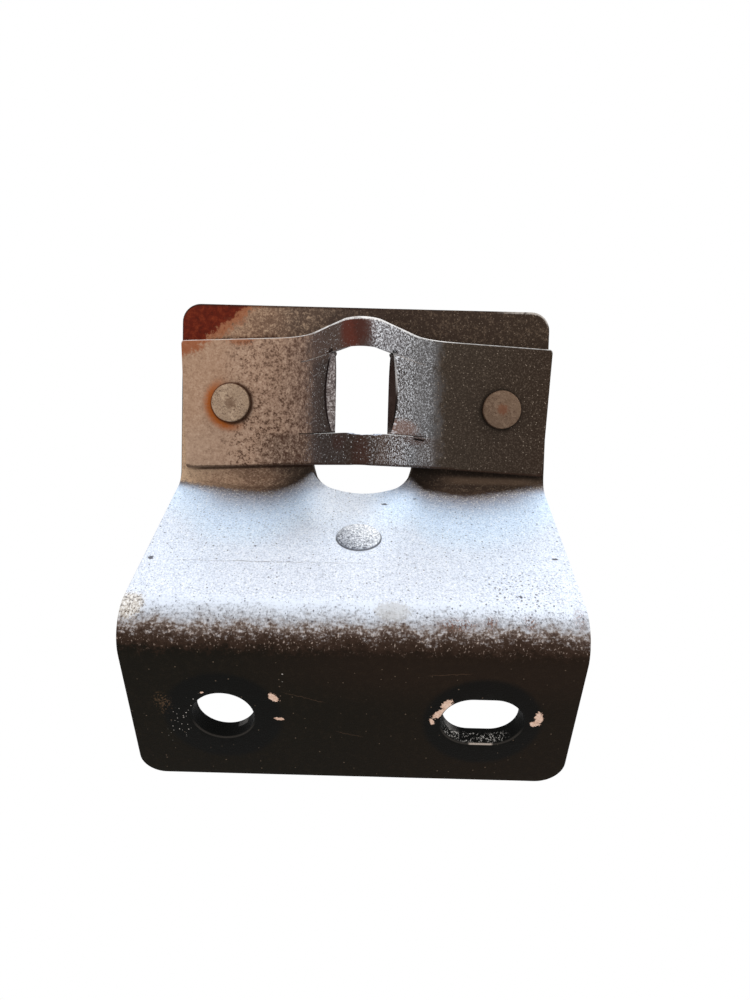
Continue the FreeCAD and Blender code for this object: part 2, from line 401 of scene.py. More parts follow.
def make_bracket():
    step = 0.5
    half = width / 2
    outline = loop(box_corners((-half, half), (0, sheet_end)),
                   [left_front_corner, front_corner, back_corner, back_corner], step)
    oblong_low = rise_start - opening_reach
    oblong_high = rise_end + opening_top - fold_tangent
    rivet_row = rise_end + rivet_line - fold_tangent
    burr = 0.1
    loops = [
        (outline, 0.18, burr, 0.0),
        (hole(hole_x, hole_line, hole_radius, hole_radius, step), 0.25, burr, 0.2),
        (hole(slot_x, hole_line, slot_length / 2, hole_radius, step), 0.25, burr, 0.35),
        (hole(0, (oblong_low + oblong_high) / 2, opening_radius,
              (oblong_high - oblong_low) / 2, step), 0.3, burr, 0.0)]
    loops += [(hole(x, rivet_row, hole_in_sheet, hole_in_sheet, step), burr, burr, 0.0)
              for x in rivet_places]
    grid = (stations([-half, half], [1.5]),
            stations([0, bend_start, bend_end, rise_start, rise_end, sheet_end],
                     [1.5, 0.4, 1.5, 0.4, 1.5]))
    creases = [circle(0, button_line, button_radius + gap, 64) for gap in (-0.16, -0.05, 0.03, 0.3)]
    sheared, groove, dish, waviness = 0.12, 0.1, 0.12, 0.05

    def shape(x, along, height):
        """Presses the button up, with a groove round it, and makes the skin a little wavy."""
        reach = math.hypot(x, along - button_line)
        share = (button_radius + 0.02 - reach) / sheared
        lift = button_rise * max(0.0, min(1.0, share))
        if height > -sheet / 2:
            lift -= groove * math.exp(-((reach - button_radius - 0.1) / 0.25) ** 2)
            lift -= dish * max(0.0, 1 - reach / button_radius)
        else:
            lift = button_rise * max(0.0, min(1.0, share + 0.6))
        wave = waviness * ripple(x, along, 9, 1) * min(1.0, (half - abs(x)) / 4)
        return x, along, height + lift + min(wave, 0) * (1 if lift < 0.01 else 0)

    return punched_sheet("bracket_sheet", loops, grid, sheet, on_bracket, shape, creases)


def strap_middle(along):
    """Height of the strap's middle line up the flange."""
    crown = 1.5
    x = strap_section(along)[0] - bulge_x
    return rivet_line + strap_rise - math.tan(strap_tilt) * math.hypot(x, crown)


def make_strap():
    step = 0.3
    end = rivet_pitch / 2 + strap_end
    shift = 0.13            # to the left of where the solid has it
    left, right = [strap_length(strap_offset - shift + side * end) for side in (-1, 1)]
    half = strap_height / 2
    skew = half * math.sin(strap_tilt)
    corners = [(left + skew, -half), (right - skew, -half), (right + skew, half), (left - skew, half)]
    outline = [Vector((along, up + strap_middle(along))) for along, up in loop(corners, [0.5] * 4, step)]
    middle = rivet_line + strap_rise
    low, high = window_low, window_high
    rising = [(slit_end, low), (slit_end, low + slit_gap), (window_side, low + slit_gap),
              (window_side, high - slit_gap), (slit_end, high - slit_gap), (slit_end, high)]
    falling = [(-along, up) for along, up in reversed(rising)]
    corners = falling[-1:] + rising + falling[:-1]
    window = loop(corners, [0.03] * len(corners), step)[::-1]
    for point in window:
        if point.y > middle:
            point.y += strap_middle(point.x) - middle
        elif point.y < low + 0.01:
            worn = max(0.0, 1 - ((point.x - 1.2) / 3.2) ** 4)
            point.y -= worn * (0.22 + 0.16 * ripple(point.x, 0, 0.7, 3))
    loops = [(outline, 0.2, 0.08, 0.0), (window, 0.05, 0.05, 0.0)]
    loops += [(hole(strap_length(x), rivet_line, hole_in_sheet, hole_in_sheet, step), 0.08, 0.08, 0.0)
              for x in rivet_places]
    bends = [-foot_end, -flank_end, -crest_end, crest_end, flank_end, foot_end]
    grid = (stations([left, *bends, right], [1.4, 0.6, 1.2, 0.3, 1.2, 0.6, 1.4]),
            stations([0, 26], [1.1]))

    skirt = 3.0             # of metal that moves with the window's side faces
    left_push, right_push, back_rise = 1.05, 0.15, 0.42
    upper_step, lower_step = 0.2, 0.15

    def shape(along, up, height):
        """Bows the window's side faces and raises its upper back edge and the slits' lips."""
        reach = abs(along)
        if reach < window_side + skirt and low + 0.1 < up < high + 0.2:
            across = (up - (low + high) / 2) / ((high - low) / 2)
            depth = min(1.0, -height / strap_sheet)
            if reach > window_side - 0.3:
                pushed = (left_push if along < 0 else right_push) * max(0.0, 1 - across ** 2)
                move = pushed * min(1.0, (window_side + skirt - reach) / skirt)
                if reach < window_side + 0.3:
                    move -= window_bow * across ** 2
                    move += 0.25 * max(0.0, across) if along < 0 else 0
                along += math.copysign(1, along) * move * (1 - depth)
            if across > 0.6 and reach < window_side + 0.3:
                up += back_rise * depth
        if window_side - 0.4 < reach < slit_end:
            fade = min(1.0, (slit_end - reach) / 4)
            over_top = strap_middle(along) - middle + high - slit_gap / 2
            if low + slit_gap / 2 < up < over_top:
                height += upper_step * fade * math.exp(-(over_top - up) / 1.5)
            elif up <= low + slit_gap / 2:
                height += lower_step * fade * math.exp(-(low - up) / 1.5)
        return along, up, height

    return punched_sheet("strap_sheet", loops, grid, strap_sheet, on_strap, shape)


def make_rivet(name, side, crown):
    """A rivet turned about its axis, its head a little uneven."""
    top = strap_sheet + head_height
    bottom = -sheet - tail_height
    profile = [(0, top + crown)]
    profile += [(r, top + crown * (1 - (r / 2.8) ** 2)) for r in (0.6, 1.2, 1.8, 2.3, 2.7)]
    profile += [(head_radius - 0.3 * (1 - math.sin(a)), top - 0.3 * (1 - math.cos(a)))
                for a in (0.0, 0.4, 0.8, 1.2, math.pi / 2)]
    profile += [(head_radius, strap_sheet + 0.08), (head_radius - 0.1, strap_sheet),
                (hole_in_sheet - 0.05, strap_sheet), (hole_in_sheet - 0.05, -sheet),
                (tail_radius - 0.1, -sheet), (tail_radius, -sheet - 0.1)]
    profile += [(tail_radius - 0.4 * (1 - math.cos(a)), bottom + 0.4 * (1 - math.sin(a)))
                for a in (0.0, 0.5, 1.0, math.pi / 2)]
    profile += [(1.4, bottom), (0, bottom)]
    turns = 72
    x = strap_offset + side * rivet_pitch / 2
    points, places = [], []
    for radius, height in profile[1:-1]:
        for i in range(turns):
            angle = 2 * math.pi * i / turns
            flat_x, flat_y = radius * math.cos(angle), radius * math.sin(angle)
            dent = 0.03 * ripple(flat_x + side * 7, flat_y, 1.3, 2) if radius > 0 else 0
            grow = 1 - 0.006 * (1 + ripple(math.cos(angle), math.sin(angle), 0.6, side))
            points.append(on_flange(x + flat_x * grow, rivet_line + flat_y * grow,
                                    height - abs(dent) * (height > strap_sheet + 0.2)))
            places.append((flat_x, flat_y, height))
    rows = len(profile) - 2
    faces = [[j * turns + i, (j + 1) * turns + i, (j + 1) * turns + (i + 1) % turns,
              j * turns + (i + 1) % turns] for j in range(rows - 1) for i in range(turns)]
    for (radius, height), row, ahead in ((profile[0], 0, 1), (profile[-1], rows - 1, -1)):
        centre = len(points)
        points.append(on_flange(x, rivet_line, height))
        places.append((0, 0, height))
        for i in range(turns):
            pair = [row * turns + i, row * turns + (i + 1) % turns][::ahead]
            faces.append([centre, *pair])
    return piece(name, points, faces, places, [0.0] * len(points))


# Finishes

class Value:
    """A shader socket that Python's arithmetic carries on from."""

    def __init__(self, nodes, socket):
        self.nodes = nodes
        self.socket = socket

    def output(self, name):
        """Another output of the same node."""
        return Value(self.nodes, self.socket.node.outputs[name])

    def math(self, operation, *others):
        return self.nodes.node("Math", {"operation": operation}, [self, *others])

    def __add__(self, other):
        return self.math("ADD", other)

    __radd__ = __add__

    def __sub__(self, other):
        return self.math("SUBTRACT", other)

    def __rsub__(self, other):
        return self.nodes.node("Math", {"operation": "SUBTRACT"}, [other, self])

    def __mul__(self, other):
        return self.math("MULTIPLY", other)

    def __truediv__(self, other):
        return self.math("DIVIDE", other)

    def __neg__(self):
        return self * -1.0

    def squared(self):
        return self * self

    def root(self):
        return self.math("SQRT")

    def size(self):
        return self.math("ABSOLUTE")

    def positive(self):
        return self.math("MAXIMUM", 0.0)

    def or_(self, other):
        """The greater of two masks."""
        return self.math("MAXIMUM", other)

    def hump(self, middle, reach):
        """1 at the middle, falling away smoothly on both sides."""
        return (-((self - middle) / reach).squared()).math("EXPONENT")

    def above(self, edge, blur=0.1):
        """0 below the edge, 1 above it, and a soft step between."""
        return self.nodes.node("MapRange", {"interpolation_type": "SMOOTHSTEP"},
                               [self, edge - blur / 2, edge + blur / 2, 0.0, 1.0])

    def below(self, edge, blur=0.1):
        return 1.0 - self.above(edge, blur)

    def between(self, low, high, blur=0.1):
        return self.above(low, blur) * self.below(high, blur)


class Nodes:
    """The node tree of a material or of the world."""

    def __init__(self, owner):
        owner.use_nodes = True
        self.tree = owner.node_tree
        self.tree.nodes.clear()

    def node(self, kind, settings, inputs, output=0):
        """Adds a node. Inputs are a list, or a dictionary by the socket's name or number."""
        made = self.tree.nodes.new("ShaderNode" + kind)
        for key, value in settings.items():
            setattr(made, key, value)
        pairs = inputs.items() if isinstance(inputs, dict) else enumerate(inputs)
        for key, value in pairs:
            if isinstance(value, Value):
                self.tree.links.new(value.socket, made.inputs[key])
            else:
                made.inputs[key].default_value = value
        return Value(self, made.outputs[output]) if len(made.outputs) else None

    def white_for_eye(self, lit, seen):
        """Mixes what the object is lit by with what a direct look or a reflection shows."""
        path = self.node("LightPath", {}, [])
        rays = [path.output(f"Is {kind} Ray") for kind in ("Camera", "Glossy", "Transmission")]
        return self.node("MixShader", {}, [any_of(rays), lit, seen])


class Finish(Nodes):
    """A material's nodes, with the flat sheet's coordinates in millimetres and shared noises.

    The places run across the sheet, along it and out of its skin. The noises are a cloud,
    a blotch, a ragged edge and a grain, from coarse to fine.
    """

    def __init__(self, name):
        self.material = bpy.data.materials.new(name)
        super().__init__(self.material)
        self.flat = self.node("Attribute", {"attribute_name": "flat"}, [], "Vector")
        self.places = [self.node("SeparateXYZ", {}, [self.flat], axis) for axis in "XYZ"]
        sizes_and_details = ((0.3, 3.0), (1.3, 4.0), (3.0, 3.0), (4.4, 1.0))
        self.noises = [self.noise(size, detail) for size, detail in sizes_and_details]
        self.edge = self.noises[2]
        border = self.node("Attribute", {"attribute_name": "rim"}, [], "Fac")
        self.rim = border.above(0.75, 0.4)
        # A band along the rims: worn paint on the hidden side, painted highlights on the top edges and
        # painted shadow on the strap's lower edge.
        self.worn_edge = (border + self.edge * 0.03).above(0.43, 0.08)

    def grainy(self, plain, amount, dark, light):
        """A plain colour with dark and light grains."""
        coat = Coat(self, srgb(*plain))
        coat.grain(amount, dark, light)
        return coat.colour

    def noise(self, scale, detail, stretch=(1.0, 1.0, 1.0)):
        """Noise round zero, mostly from -1 to 1, with this many blotches to a millimetre."""
        places = self.node("VectorMath", {"operation": "MULTIPLY"}, [self.flat, stretch])
        made = self.node("TexNoise", {"noise_dimensions": "4D"},
                         {"Vector": places, "W": scale, "Scale": scale, "Detail": detail,
                          "Roughness": 0.65}, "Fac")
        return (made - 0.5) * 7.0

    def specks(self, cells, size, share):
        """Ragged specks of about this radius, in a share of the cells, counted to a millimetre."""
        cell = self.node("TexVoronoi", {"voronoi_dimensions": "2D"},
                         {"Vector": self.flat, "Scale": cells}, "Distance")
        chance = self.node("SeparateColor", {}, [cell.output("Color")], 0)
        reach = cell / cells + self.edge * (size * 0.4)
        radius = (chance * (1.2 / share) + 0.4) * size
        return (radius - reach).above(0.0, size * 0.8) * chance.below(share, 0.001)

    def spot(self, x, y, half_x, half_y, ragged=0.3, blur=0.2, turn=0.0):
        """A ragged oval patch."""
        c, s = math.cos(turn), math.sin(turn)
        across, along, _ = self.places
        dx, dy = across - x, along - y
        reach = distance((dx * c + dy * s) / half_x, (dy * c - dx * s) / half_y)
        if ragged:
            reach = reach + self.edge * ragged
        return reach.below(1.0, blur)

    def run(self, value, stops):
        """A colour that follows a value through (value, red, green, blue) stops."""
        low, high = stops[0][0], stops[-1][0]
        ramp = self.node("ValToRGB", {}, [(value - low) / (high - low)], "Color")
        elements = ramp.socket.node.color_ramp.elements
        for place, *colour in stops[1:-1]:
            elements.new((place - low) / (high - low)).color = srgb(*colour)
        elements[0].color, elements[-1].color = srgb(*stops[0][1:]), srgb(*stops[-1][1:])
        return ramp

    def finish(self, colour, roughness, metallic, bumps):
        """Bumps is a height in millimetres."""
        normal = self.node("Bump", {}, {"Strength": 1.0, "Distance": MM, "Height": bumps}, "Normal")
        shader = self.node("BsdfPrincipled", {}, {
            "Base Color": colour, "Roughness": roughness, "Metallic": metallic,
            "Specular IOR Level": 0.03, "Normal": normal}, "BSDF")
        self.node("OutputMaterial", {}, {"Surface": shader})
        return self.material


class Coat:
    """A colour that others are laid over, one after another."""

    def __init__(self, paint, ground):
        self.paint = paint
        self.colour = ground

    def lay(self, share, *tint):
        """Covers a share with a colour socket, or with red, green and blue."""
        tint = srgb(*tint) if len(tint) == 3 else tint[0]
        self.colour = self.paint.node("Mix", {"data_type": "RGBA"}, {0: share, 6: self.colour, 7: tint}, 2)

    def grain(self, amount, dark, light):
        """Dark grains where the amount is below zero, light ones where it is above."""
        self.lay((-amount).positive(), *dark)
        self.lay(amount.positive(), *light)


def distance(across, up):
    return (across.squared() + up.squared()).root()


def any_of(masks):
    """The greatest of several masks."""
    found, *others = masks
    for mask in others:
        found = found.or_(mask)
    return found


def plain_brown(paint):
    """The dark side that no one sees, and the cut edges."""
    cloud, blotch, edge, grain = paint.noises
    coat = Coat(paint, paint.grainy((50, 41, 34), cloud * 0.15 + blotch * 0.25 + grain * 0.08,
                                    (34, 28, 24), (92, 78, 66)))
    coat.lay((cloud + blotch * 0.5).above(1.3, 1.0) * edge.above(-0.3, 1.0) * 0.6, 92, 48, 30)
    face = 1.0 - paint.rim
    coat.lay(paint.worn_edge * face * (blotch + edge * 0.5).above(0.0, 0.8) * 0.6, 118, 104, 92)
    coat.lay(paint.specks(0.9, 0.07, 0.35) * face * 0.6, 112, 98, 86)
    return coat.colour


def front_paint(paint):
    """Dark brown paint of the front flange, with what the washers left, chips and specks."""
    x, s, _ = paint.places
    _, blotch, _, grain = paint.noises
    coat = Coat(paint, srgb(24, 21, 16))
    coat.lay(x.above(4.0, 30.0), 28, 22, 16)
    coat.lay(s.above(17.0, 8.0) * x.above(-8.0, 30.0) * 0.6, 38, 27, 20)
    coat.grain(blotch * 0.06 + grain * 0.03, (12, 11, 9), (66, 54, 42))
    rings = any_of([paint.spot(middle, hole_line, washer_radius, washer_radius, 0.012, 0.14)
                    for middle in (hole_x, slot_x)])
    coat.lay(rings * 0.85, 13, 13, 12)
    coat.lay(paint.specks(0.6, 0.06, 0.3) * 0.7, 104, 88, 74)
    coat.lay(paint.spot(-25.4, 14.2, 1.0, 1.7, 0.5, 0.8) * grain.above(0.3, 0.5) * 0.6, 86, 66, 48)
    scratches = ((-9.0, -4.0, 16.6, -0.3), (-2.0, 1.0, 9.4, -0.25), (10.0, 15.0, 20.4, 0.1))
    for low, high, height, slant in scratches:
        line = (s - height - (x - low) * slant + blotch * 0.12).size().below(0.05, 0.08)
        coat.lay(line * x.between(low, high, 1.5) * 0.22, 120, 92, 72)

    # Pale chips, browner round their edges, and crumbs of paint off
    chips = any_of([
        paint.spot(middle, height, half_x, half_s, 0.32, 0.24, turn)
        for middle, height, half_x, half_s, turn in (
            (-10.5, 15.7, 0.5, 0.9, 0.6), (-9.9, 11.65, 0.7, 0.26, -0.05),
            (12.5, 15.15, 0.6, 1.1, -0.5), (11.6, 13.45, 0.5, 1.2, -0.75),
            (10.7, 11.9, 0.3, 0.6, 0.3), (25.0, 13.0, 0.55, 1.2, 0.1),
            (24.5, 12.0, 0.6, 0.5, 0.0), (-19.9, 16.3, 0.24, 0.16, 0.3))])
    coat.lay(chips.above(0.1, 0.2), 96, 66, 50)
    coat.lay(chips.above(0.5, 0.3), paint.grainy((208, 176, 156), grain * 0.3 + blotch * 0.2,
                                                 (150, 104, 78), (236, 214, 200)))
    crumbs = any_of([
        paint.specks(2.4, 0.055, 0.2) * paint.spot(-22.6, 11.4, 1.6, 3.8, 0.3, 0.8, -0.4),
        paint.specks(1.4, 0.08, 0.5) * paint.spot(-9.1, 19.6, 0.5, 0.9, 0.1, 0.3)])
    coat.lay(crumbs * 0.75, 200, 192, 184)
    return coat.colour, rings, chips


def bend_paint(paint, worn, layers):
    """Worn through from brown paint to bright metal, with grains and painted glints; the change from dark
    to pale across the bend is also painted reflection of the sky.
    """
    _, _, edge, grain = paint.noises
    # Painted reflection: the ramp turns pale as the bend turns up towards the sky.
    coat = Coat(paint, paint.run(worn, [
        (22.2, 35, 26, 20), (23.6, 42, 30, 23), (24.7, 54, 40, 32), (25.4, 76, 61, 53),
        (25.9, 112, 98, 90), (26.25, 146, 141, 141), (26.9, 172, 175, 182), (27.7, 200, 207, 218),
        (28.7, 215, 223, 236), (29.8, 217, 225, 238)]))
    coat.grain((layers * 0.25 + grain * 0.12 + edge * 0.2) * worn.between(25.2, 28.2, 1.0),
               (66, 56, 54), (212, 211, 214))
    glints = (grain + edge * 0.7).above(1.3, 0.6) * paint.places[1].between(23.9, 26.3, 2.4)
    coat.lay(glints * 0.6, 190, 170, 156)
    return coat.colour


def shelf_paint(paint, close):
    """Bright metal, its pale colour a painted reflection of the sky, that turns blue and then dark in
    painted shade where the back flange starts.
    """
    x, s, _ = paint.places
    _, blotch, edge, grain = paint.noises
    # Painted light: the shelf's ends are kept paler, where light reaches past the back flange.
    sides = x.below(-25.5, 9.0) * 5.5 + x.above(28.0, 9.0) * 4.5
    fading = close + blotch * 0.35 + grain * 0.2 + edge * 0.2 - sides * (1.0 - close.above(-1.5, 3.0))
    # Painted reflection and shade: pale blue-white going through blue to dark towards the back flange.
    coat = Coat(paint, paint.run(fading, [
        (-28.0, 217, 225, 239), (-16.0, 212, 222, 237), (-12.0, 211, 228, 247),
        (-9.0, 209, 229, 252), (-6.5, 199, 219, 242), (-4.5, 181, 198, 220), (-3.0, 162, 172, 190),
        (-1.5, 136, 138, 148), (-0.3, 100, 92, 90), (0.8, 72, 58, 50)]))
    # A painted pool of light behind the button, where light comes through the opening.
    coat.lay(x.between(-7.5, 2.5, 6.0) * s.above(47.0, 10.0) * 0.85, 228, 235, 246)
    coat.lay(x.between(-20.0, 16.0, 12.0) * s.between(29.0, 40.0, 6.0) * 0.5, 208, 214, 226)
    coat.grain(grain * 0.3 + edge * 0.16 + blotch * 0.1, (132, 138, 154), (255, 255, 255))
    return coat.colour


def shelf_marks(paint, coat):
    """Dark specks, a long scratch, and pale, rusty and scabby patches along the bend."""
    x, s, _ = paint.places
    cloud, blotch, edge, grain = paint.noises
    larger = [(3.7, 53.1, 0.5, 0.26), (28.0, 39.4, 0.5, 0.22), (-28.8, 37.4, 0.4, 0.4),
              (21.8, 30.8, 0.24, 0.24), (8.6, 54.9, 0.25, 0.16), (-14.8, 40.8, 0.18, 0.16)]
    dots = any_of([
        paint.specks(2.3, 0.05, 0.5) * 0.6, paint.specks(0.9, 0.08, 0.35) * 0.9,
        *[paint.spot(*place, 0.4, 0.5) for place in larger],
        paint.specks(1.9, 0.11, 0.45) * paint.spot(21.6, 31.0, 5.0, 4.5, 0.2, 1.0) * 0.8])
    dots = dots * s.between(26.0, 60.0, 1.0)
    coat.lay(dots * 0.85, 62, 58, 64)
    scratch = (s - 37.25 - x * 0.01 + cloud * 0.15 + blotch * 0.06).size().below(0.1, 0.16)
    scratch = scratch * x.between(-26.0, 1.0, 5.0) * (0.35 + x.between(-17.5, -8.0, 2.0) * 0.35)
    coat.lay(scratch * blotch.above(-0.3, 0.9), 96, 100, 112)
    coat.lay(paint.spot(4.9, 28.0, 2.3, 1.1, 0.25, 0.4) * 0.6, 182, 182, 182)
    rusty = any_of([
        paint.spot(13.2, 26.6, 3.2, 0.8, 0.5, 0.6), paint.spot(17.4, 26.9, 1.1, 0.8, 0.5, 0.5),
        paint.spot(22.4, 27.0, 1.0, 0.9, 0.5, 0.5), paint.spot(28.8, 27.6, 0.9, 1.6, 0.5, 0.6) * 0.6])
    coat.lay(rusty * edge.above(0.1, 0.6) * 0.85,
             paint.grainy((98, 62, 44), grain * 0.5, (46, 32, 28), (150, 104, 80)))
    coat.lay(paint.spot(-28.9, 28.0, 1.8, 1.6, 0.3, 0.6) * 0.8,
             paint.grainy((200, 190, 176), edge * 0.9 + grain * 0.5, (70, 54, 44), (240, 238, 234)))
    return dots


def button_paint(paint, coat):
    """The pressed button, grainy, and greyer at its near left side and paler at its far right in painted
    shade, with a dark line round it that is painted shadow in its groove.
    """
    x, s, _ = paint.places
    _, _, edge, grain = paint.noises
    away = s - button_line
    reach = distance(x, away)
    # Painted shade: greyer at the near left, paler at the far right.
    face = paint.grainy((184, 190, 200), grain * 0.6 + edge * 0.4 + (x + away) * 0.13,
                        (96, 98, 106), (250, 252, 255))
    coat.lay(reach.below(button_radius - 0.05, 0.12), face)
    # Painted shadow in the groove, darkest at its near side.
    groove = (reach - button_radius - 0.04).size().below(0.09, 0.1)
    coat.lay(groove * ((x * 0.3 - away).above(-1.4, 3.0) * 0.75 + 0.1), 48, 46, 50)


def flange_paint(paint, close):
    """Back flange: pale beige on the left and brown to the right, a painted reflection, with painted shade
    and shadow round the strap, and rust in its corner.
    """
    x, s, _ = paint.places
    cloud, blotch, edge, grain = paint.noises
    # Painted reflection: pale beige on the left, brown to the right.
    coat = Coat(paint, paint.run(x + cloud * 1.6, [
        (-30.0, 194, 164, 135), (-23.0, 156, 126, 103), (-17.0, 124, 97, 79), (-11.0, 97, 79, 67),
        (-4.0, 70, 57, 50), (6.0, 56, 44, 37), (30.0, 53, 42, 34)]))
    beige = x.below(-6.0, 16.0)
    coat.grain((blotch * 0.22 + edge * 0.22 + grain * 0.12) * (beige + 0.3),
               (56, 38, 28), (204, 174, 146))
    coat.lay(paint.specks(1.7, 0.055, 0.5) * (1.0 - beige * 0.7) * 0.5, 150, 134, 118)

    # Painted shade in the fold and behind the bulge, painted shadow under and over the strap, and a paler
    # streak low on the right
    under = s - strap_foot + x.size() * 0.05
    coat.lay(close.between(-1.0, 2.0, 1.4) * x.between(-26.0, 20.0, 8.0) * 0.45, 56, 42, 33)
    coat.lay(x.between(-13.0, 12.0, 5.0) * s.below(64.0, 1.0) * 0.7, 26, 21, 17)
    coat.lay(under.between(-1.1, 0.6, 1.2) * x.above(8.0, 5.0) * 0.7, 24, 18, 13)
    coat.lay(s.between(60.0, 61.6, 1.2) * x.between(14.0, 28.5, 4.0) * 0.6, 104, 84, 68)
    contact_shadow = (under + edge * 0.06).between(-0.4, 0.6, 0.2) * x.between(-28.0, -8.0, 4.0)
    coat.lay(contact_shadow * 0.8, 40, 24, 16)
    over = s - strap_foot - strap_height + x.size() * 0.05 + edge * 0.08 + blotch * 0.1
    coat.lay(over.between(-0.5, 0.42, 0.5) * x.between(-25.0, -14.0, 3.0) * 0.8, 58, 34, 22)

    corner = (x + 18.6) * -0.62 + (s - 89.0) * 0.78 + blotch * 0.5 + cloud * 0.6 + edge * 0.25
    corner = corner - s.below(76.0, 2.0) * 9.0
    coat.lay(corner.between(-1.0, 0.9, 1.2) * 0.7, 146, 82, 48)
    coat.lay(corner.above(0.2, 0.8), paint.grainy((92, 32, 20), blotch * 0.4 + edge * 0.15,
                                                  (52, 22, 17), (132, 58, 34)))
    return coat.colour


def hole_walls(paint, coat):
    """Walls of the two fixing holes: torn metal near the front, smooth behind it."""
    x, s, h = paint.places
    _, blotch, edge, grain = paint.noises
    wall = paint.rim * s.between(hole_line - 5.0, hole_line + 5.0) * x.size().below(27.0, 1.0)
    low = s.below(hole_line - 1.5, 2.0)
    coat.lay(wall, 20, 20, 19)
    torn = (grain + edge * 0.6).above(0.8, 0.9) * h.between(-1.6, -0.35, 0.5) * low
    coat.lay(wall * torn * x.between(slot_x - 5.4, slot_x + 3.4, 2.0) * 0.75, 206, 202, 196)
    smooth = any_of([
        h.between(-2.3, -1.3, 0.2) * low * x.between(slot_x - 5.0, slot_x - 3.4, 1.8),
        h.between(-2.3, -1.5, 0.2) * low * x.between(hole_x + 1.6, hole_x + 2.9, 0.4) * 0.6])
    coat.lay(wall * smooth * (0.75 + blotch * 0.3), 128, 126, 124)
    # A pale line along the slot's lower front lip: painted highlight.
    lip = h.above(-0.2, 0.12) * low * (x.between(slot_x - 1.4, slot_x + 1.8, 0.4) * 0.8 + 0.05)
    coat.lay(wall * lip, 190, 176, 164)


def bracket_finish():
    """Lengths along the sheet count up from the front flange's foot."""
    paint = Finish("bracket_paint")
    x, s, h = paint.places
    cloud, blotch, edge, grain = paint.noises
    layers = paint.noise(1.7, 4.0, (0.6, 1.6, 1.0))
    # A ragged length along the sheet: the front paint ends at it, and the painted reflection across the
    # bend and on the shelf follows it.
    worn = s + layers * 0.38 + grain * 0.12 + edge * 0.18 + blotch * 0.24 + cloud * 0.36
    # Painted shade pools on the shelf either side of the opening, where the back flange and strap keep
    # light off; they move the dark edge forward.
    left_shade_pool = x.hump(-17.0, 13.0) * x.below(-11.0, 8.0)
    right_shade_pool = x.hump(16.7, 9.5) * x.above(8.5, 5.0)
    close = s - 60.3 - x.between(-9.5, 9.0, 3.0) * 1.1 + left_shade_pool * 4.5 + right_shade_pool * 4.3

    coat = Coat(paint, bend_paint(paint, worn, layers))
    coat.lay(s.above(29.0, 1.6), shelf_paint(paint, close))
    dots = shelf_marks(paint, coat)
    button_paint(paint, coat)
    coat.lay((close + blotch * 0.3 + edge * 0.2).above(0.3, 1.6), flange_paint(paint, close))
    front, rings, chips = front_paint(paint)
    coat.lay(worn.below(23.6, 1.4), front)

    # Cut edges and the hidden side, with the top edge darker at the left and a painted highlight on it at
    # the right
    hidden = h.below(-0.5, 0.4)
    coat.lay(hidden.or_(paint.rim * s.above(60.0, 2.0)), plain_brown(paint))
    top = paint.worn_edge * h.above(-0.5, 0.3) * s.above(87.0, 1.0)
    coat.lay(top * x.below(2.0, 8.0) * 0.6, 44, 30, 24)
    coat.lay(top * x.above(23.0, 5.0) * blotch.above(-0.6, 1.0) * 0.6, 206, 198, 190)
    hole_walls(paint, coat)

    bright = worn.above(26.4, 1.6) * close.below(-1.5, 3.0) * (1.0 - hidden) * (1.0 - dots)
    roughness = 0.62 - rings * (1.0 - hidden) * 0.16 - bright * 0.2 + blotch * 0.03
    marks = worn.between(22.6, 28.0, 1.0) * edge * 0.02 - dots * 0.03 - chips * 0.06
    bumps = grain * 0.006 + blotch * 0.006 + marks * (1.0 - hidden)
    return paint.finish(coat.colour, roughness, bright * 0.15, bumps)


def strap_tones(paint, place, low, bulge):
    """Pale beige, then dark on the bulge's left flank in painted shade and pale grey on its right one in
    painted light, then brown; the beige and brown ends are painted reflection.
    """
    s, v, _ = paint.places
    # Painted light and shade along the strap: beige end, shaded left flank, lit right flank, brown end.
    coat = Coat(paint, paint.run(place, [
        (-37.0, 164, 136, 114), (-27.0, 156, 126, 105), (-22.5, 146, 118, 99), (-17.5, 114, 92, 80),
        (-14.5, 74, 61, 56), (-10.0, 56, 47, 43), (-0.5, 54, 44, 39), (1.8, 112, 106, 104),
        (6.0, 112, 106, 105), (12.0, 100, 96, 95), (17.0, 104, 102, 102), (19.5, 90, 88, 88),
        (22.0, 58, 49, 41), (38.0, 50, 39, 31)]))
    top = v.above(19.0, 2.0)
    coat.lay(top * bulge * s.below(11.0, 8.0) * 0.4, 150, 149, 154)
    coat.lay(top * s.between(-16.0, 1.0, 3.0) * 0.25, 116, 92, 80)
    for start, end, blur, share, tint in (
            (-0.5, 12.5, 5.0, 0.95, (76, 58, 48)), (16.0, 21.0, 3.0, 0.4, (74, 60, 52)),
            (-2.0, 3.0, 2.0, 0.8, (50, 39, 33)), (-25.0, -15.0, 5.0, 0.6, (72, 54, 45))):
        coat.lay(low * place.between(start, end, blur) * share, *tint)
    coat.lay(s.below(-31.0, 4.0) * v.above(9.0, 5.0) * 0.2, 146, 98, 62)
    return coat


